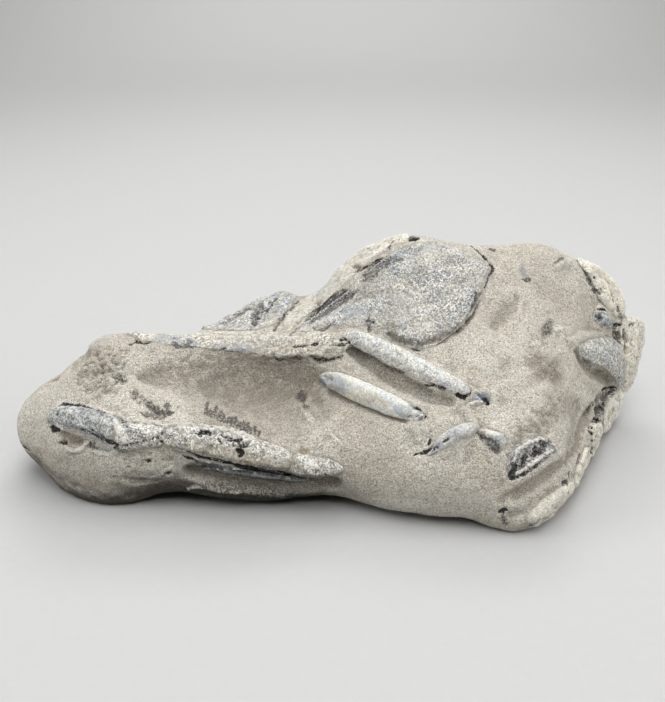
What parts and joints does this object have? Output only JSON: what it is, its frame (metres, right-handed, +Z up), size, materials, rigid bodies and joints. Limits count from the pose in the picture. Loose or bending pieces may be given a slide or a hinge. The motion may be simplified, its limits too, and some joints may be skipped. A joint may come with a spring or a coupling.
{
  "type": "fossil lobster",
  "caption": "Fossil lobster half freed from a wedge of fine sandstone, with carapace, claw, legs and curled tail standing out of the matrix.",
  "frame": {"origin": "under the middle of the block, on the surface it rests on", "axes": "+Z up, +X from the narrow claw end of the block to the broad tail end, -Y towards the prepared side"},
  "size_m": [0.1626, 0.0834, 0.0514],
  "materials": {
    "sandstone": "fine sand grain, matt, abraded",
    "carapace_shell": "granular grey shell, matt, blue-grey patches",
    "claw_shell": "pitted pale grey shell, slightly silky",
    "leg_shell": "smooth cream and blue-grey shell, slightly silky",
    "dark_calcite": "dark pitted infill with white crystals",
    "tail_shell": "weathered cream and grey shell, matt"
  },
  "bodies": {
    "root": {"stone": "sandstone", "carapace_near_side": "carapace_shell", "carapace_far_side": "carapace_shell", "back_claw": "carapace_shell", "ledge_shell": "carapace_shell", "claw_palm": "claw_shell", "claw_wrist": "claw_shell", "claw_arm": "claw_shell", "claw_arm_upper": "claw_shell", "claw_finger": "dark_calcite", "leg_upper": "leg_shell", "leg_upper_tip": "dark_calcite", "leg_lower": "leg_shell", "leg_sliver": "leg_shell", "leg_stub": "leg_shell", "pitted_plate": "dark_calcite", "tail_ring": "dark_calcite", "tail_pleuron": "tail_shell", "tail_segment_1": "tail_shell", "tail_segment_2": "tail_shell", "tail_segment_3": "tail_shell", "tail_segment_4": "tail_shell", "tail_segment_5": "tail_shell", "tail_segment_6": "tail_shell"}
  },
  "joints": []
}
